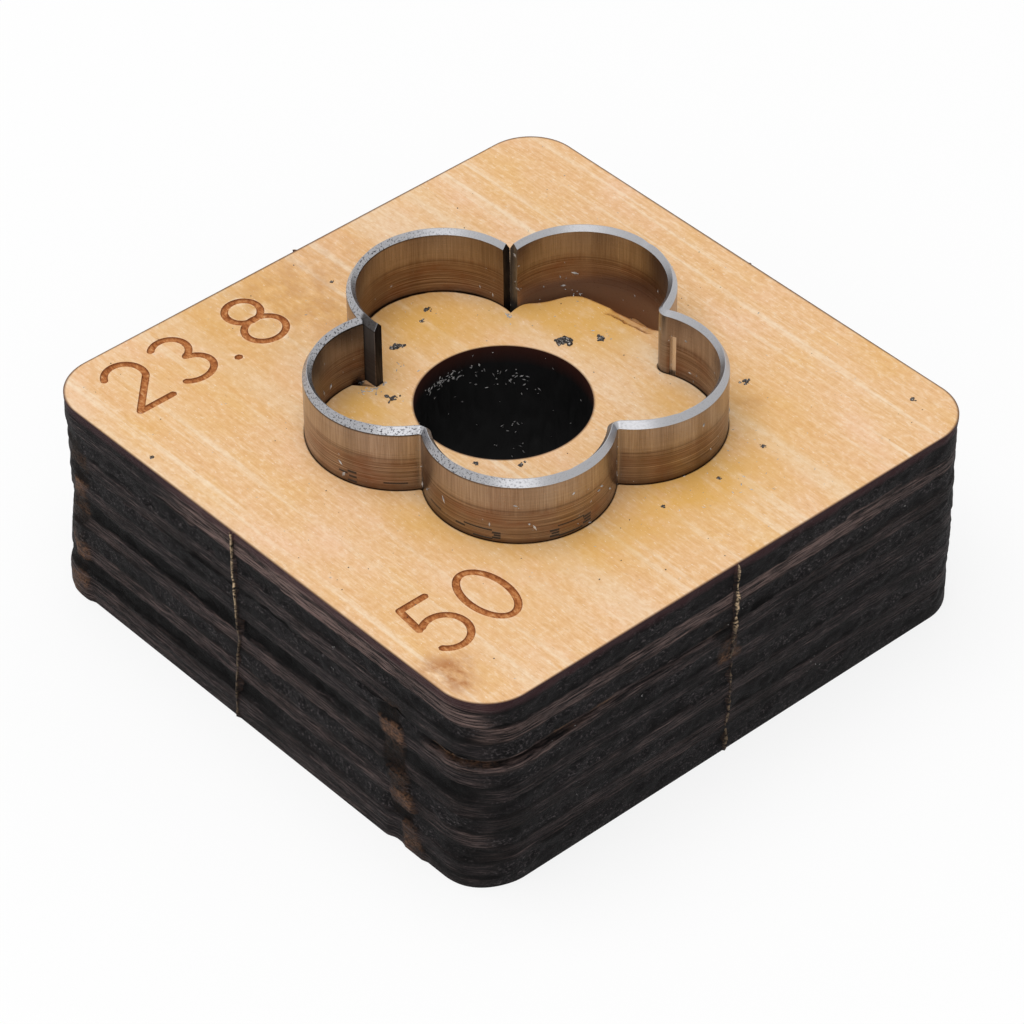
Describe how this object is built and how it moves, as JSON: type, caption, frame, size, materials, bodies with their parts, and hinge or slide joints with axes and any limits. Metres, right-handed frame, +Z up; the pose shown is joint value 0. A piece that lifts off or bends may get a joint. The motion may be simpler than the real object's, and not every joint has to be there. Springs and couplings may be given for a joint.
{
  "type": "steel rule die",
  "caption": "Square plywood die board with bevelled steel cutting rule standing on edge in it as a flower, and a round ejection hole through the middle.",
  "frame": {"origin": "middle of the board's underside", "axes": "+Z up from the board to the cutting edge; X and Y along the board's sides, with the face veneer's grain along Y"},
  "size_m": [0.0506, 0.0506, 0.0238],
  "materials": {
    "plywood": "laser-cut birch plywood with charred sides",
    "rule_steel": "shaved and bevelled strip with oxide-brown sides"
  },
  "bodies": {
    "root": {"die_board": "plywood", "long_rule": "rule_steel", "short_rule": "rule_steel"}
  },
  "joints": []
}
